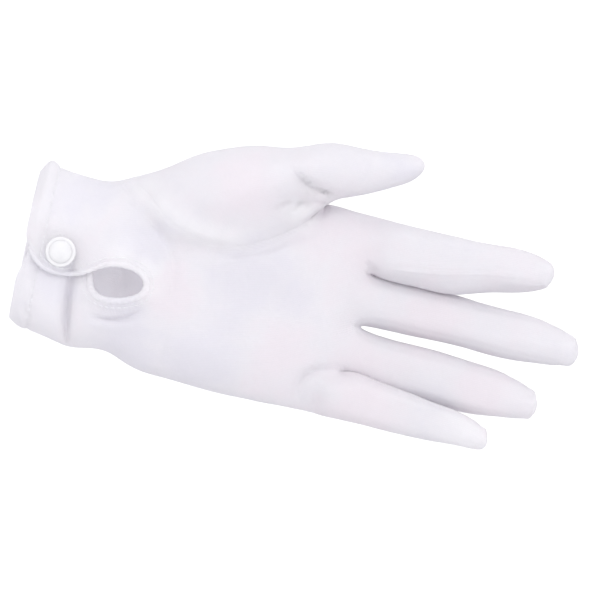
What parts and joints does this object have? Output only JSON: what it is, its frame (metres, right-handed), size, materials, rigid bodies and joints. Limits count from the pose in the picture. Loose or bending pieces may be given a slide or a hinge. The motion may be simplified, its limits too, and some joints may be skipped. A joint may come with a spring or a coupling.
{
  "type": "buttoned glove",
  "caption": "Left-hand white cotton dress glove, held in its worn shape, with a snap-fastened wrist vent and a set-in thumb.",
  "frame": {"origin": "middle of the open wrist mouth", "axes": "+X from the wrist mouth to the fingertips, +Z to the thumb side, the palm faces -Y"},
  "size_m": [0.2378, 0.0515, 0.1157],
  "materials": {
    "cotton": "white cotton jersey, finely knitted, matt with a soft nap",
    "binding": "white cotton, rolled edge",
    "snap_cap": "white enamel, soft gloss",
    "snap_metal": "nickel plate"
  },
  "bodies": {
    "root": {"trank": "cotton", "thumb": "cotton", "fourchette_index_middle": "cotton", "fourchette_middle_ring": "cotton", "fourchette_ring_little": "cotton", "keyhole_binding": "binding", "button_cap": "snap_cap", "snap_stud": "snap_metal"}
  },
  "joints": []
}
